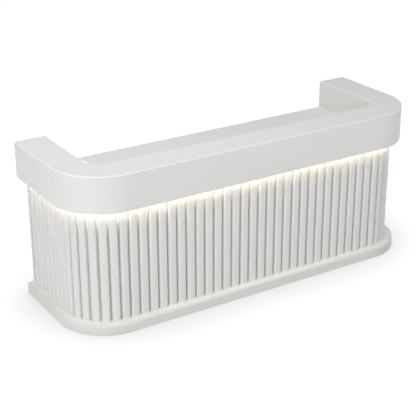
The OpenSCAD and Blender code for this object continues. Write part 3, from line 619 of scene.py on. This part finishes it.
drawer_board = pearl_melamine("grey_drawer_melamine", "#DADAD8", "#D2D2CF")
bar_steel = brushed_steel("brushed_stainless_bar", (1, 0, 0))
dress(["runner_channels"], zinc)
for drawer in ("top_drawer", "middle_drawer", "file_drawer"):
    dress([drawer + "_front"], lacquer, FRONT_EDGE)
    dress([drawer + "_box"], drawer_board, BOX_EDGE)
    dress([drawer + "_handle"], bar_steel, HANDLE_EDGE)
    dress([drawer + "_runners", drawer + "_sliders"], zinc)
    box_low, box_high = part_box(drawer + "_box")
    inner_height = box_high.z - box_low.z - BOX_FLOOR
    rows = (0.25, 0.8) if inner_height > DEEP_BOX else (0.5,)
    socket_screws(drawer + "_front_screws",
                  [Vector((x, box_high.y - BOX_BOARD, box_low.z + BOX_FLOOR + row * inner_height))
                   for x in (box_low.x + FRONT_SCREW_INSET, box_high.x - FRONT_SCREW_INSET) for row in rows],
                  (0, -1, 0), FRONT_SCREW_RADIUS, FRONT_SCREW_HEIGHT, drawer)


# Lock of the top drawer: a zinc casting through the front with a flange outside and a hexagonal nut
# inside, and a barrel with a key slot that turns a flat cam up behind the rail.

def nickel_plate():
    """Zinc casting with bright nickel plate. It gives a warm mirror with the faint ripple of a casting."""
    material, tree = bare_material("bright_nickel_plate")
    place = add(tree, "TexCoord").outputs["Object"]
    ripple = add(tree, "TexNoise", {"Vector": place}, {"Scale": 1 / (4 * MM), "Detail": 2.0})
    waves = add(tree, "Bump", {"Height": ripple.outputs["Fac"]}, {"Strength": 0.2, "Distance": 0.05 * MM})
    tone = add(tree, "Mix", {0: ripple.outputs["Fac"]}, {6: srgb("#D6D2CB"), 7: srgb("#CAC6BF")},
               data_type="RGBA")
    surface = add(tree, "BsdfPrincipled",
                  {"Base Color": tone.outputs[2], "Normal": waves.outputs["Normal"]},
                  {"Metallic": 1.0, "Roughness": 0.14})
    add(tree, "OutputMaterial", {"Surface": surface.outputs["BSDF"]})
    return material


dress(["lock_body", "lock_barrel"], nickel_plate())


# Cupboard door: a lacquered inset door on two steel butt hinges, whose pins stand in the gap at its outer
# edge, with the same bar handle as the drawers, upright.

dress(["cupboard_door"], lacquer, FRONT_EDGE)
dress(["door_handle"], brushed_steel("brushed_stainless_upright_bar", (0, 0, 1)), HANDLE_EDGE)
dress(["hinge_fixed_leaves", "hinge_door_leaves"], brushed_steel("brushed_hinge_steel", (0, 0, 1)))


# Floor: a seamless white studio floor that fades into the white behind it and keeps the desk's shadow.
# The camera and the desk's gloss see part of it as the even white of the room, shaded near the desk's foot.

WHITE = (1.0, 1.0, 1.0, 1.0)
FLOOR_HALF = 30.0
FLOOR_DROP = 0.2 * MM
FLOOR_EVEN = 0.85               # share of the even white in what the camera sees of the floor
FLOOR_OPEN = 1.16               # its strength on open floor, and close against the desk
FLOOR_COVERED = 0.45
SHADE_REACH = 0.45              # how far from the desk, in metres, its foot still shades the floor


def sees_white(tree):
    """1 for the rays that see floor and walls as even white (camera, gloss and glass), 0 for all others."""
    ray = add(tree, "LightPath").outputs
    seen = add(tree, "Math", {0: ray["Is Camera Ray"], 1: ray["Is Glossy Ray"]}, operation="MAXIMUM")
    seen = add(tree, "Math", {0: seen.outputs[0], 1: ray["Is Transmission Ray"]}, operation="MAXIMUM")
    return seen.outputs[0]


material, tree = bare_material("white_studio_floor")
place = add(tree, "TexCoord").outputs["Object"]
dust = add(tree, "TexNoise", {"Vector": place}, {"Scale": 2.0, "Detail": 3.0})
tone = add(tree, "Mix", {0: dust.outputs["Fac"]}, {6: srgb("#E9E9E9"), 7: srgb("#E7E7E7")}, data_type="RGBA")
sky = add(tree, "AmbientOcclusion", {}, {"Distance": SHADE_REACH})
bright = add(tree, "MapRange", {"Value": sky.outputs["AO"]}, {"To Min": FLOOR_COVERED, "To Max": FLOOR_OPEN})
matt = add(tree, "BsdfDiffuse", {"Color": tone.outputs[2]})
even = add(tree, "Emission", {"Strength": bright.outputs["Result"]}, {"Color": WHITE})
share = add(tree, "Math", {0: sees_white(tree)}, {1: FLOOR_EVEN}, operation="MULTIPLY")
both = add(tree, "MixShader", {0: share.outputs[0], 1: matt.outputs[0], 2: even.outputs[0]})
add(tree, "OutputMaterial", {"Surface": both.outputs[0]})

floor_mesh = bpy.data.meshes.new("studio_floor")
floor_mesh.from_pydata([(-FLOOR_HALF, -FLOOR_HALF, -FLOOR_DROP), (FLOOR_HALF, -FLOOR_HALF, -FLOOR_DROP),
                        (FLOOR_HALF, FLOOR_HALF, -FLOOR_DROP), (-FLOOR_HALF, FLOOR_HALF, -FLOOR_DROP)],
                       [], [(0, 1, 2, 3)])
floor_mesh.materials.append(material)
floor = bpy.data.objects.new("studio_floor", floor_mesh)
bpy.context.scene.collection.objects.link(floor)


# Light of the studio: a dim even room, and five large soft lamps: low on the left, on the right and behind,
# high in front, and over the desk's left half. The camera and the desk's gloss see the walls at full white.

ROOM_STRENGTH = 0.26
WALL_STRENGTH = 1.0
# Each lamp's place, size in metres and strength in watts
LAMPS = {
    "soft_left": (Vector((-4.8, -2.1, 1.2)), 3.0, 86.0),
    "soft_right": (Vector((1.6, -3.6, 2.2)), 2.0, 29.0),
    "soft_high": (Vector((-0.8, -2.0, 5.0)), 2.5, 65.0),
    "soft_over": (Vector((-1.4, 0.6, 3.4)), 2.0, 20.0),
    "soft_behind": (Vector((1.3, 4.2, 0.47)), 0.9, 36.0),
}
LAMP_AIM = Vector((0.0, 0.0, 0.5))

world = bpy.data.worlds.new("white_room")
world.use_nodes = True
bpy.context.scene.world = world
tree = world.node_tree
tree.nodes.clear()
room = add(tree, "Background", {}, {"Color": WHITE, "Strength": ROOM_STRENGTH})
wall = add(tree, "Background", {}, {"Color": WHITE, "Strength": WALL_STRENGTH})
mixed = add(tree, "MixShader", {0: sees_white(tree), 1: room.outputs[0], 2: wall.outputs[0]})
add(tree, "OutputWorld", {"Surface": mixed.outputs[0]})

for name, (place, size, energy) in LAMPS.items():
    bulb = bpy.data.lights.new(name, "AREA")
    bulb.shape = "DISK"
    bulb.size = size
    bulb.energy = energy
    lamp = bpy.data.objects.new(name, bulb)
    lamp.location = place
    lamp.rotation_euler = (LAMP_AIM - place).to_track_quat("-Z", "Y").to_euler()
    bpy.context.scene.collection.objects.link(lamp)


# Camera: at the photograph's angle, in front of the desk on the left and above it.

EYE = Vector((-3.395, -5.127, 3.068))
YAW = math.radians(32.42)
PITCH = math.radians(23.37)
ROLL = math.radians(-0.13)
LENS = 93.8
SENSOR = 36.0

camera_data = bpy.data.cameras.new("camera")
camera_data.lens = LENS
camera_data.sensor_width = SENSOR
camera = bpy.data.objects.new("camera", camera_data)
turned = Matrix.Rotation(-YAW, 4, "Z")
turned = turned @ Matrix.Rotation(math.pi / 2 - PITCH, 4, "X") @ Matrix.Rotation(ROLL, 4, "Z")
camera.matrix_world = Matrix.Translation(EYE) @ turned
bpy.context.scene.collection.objects.link(camera)
bpy.context.scene.camera = camera
bpy.context.scene.view_settings.view_transform = "Standard"
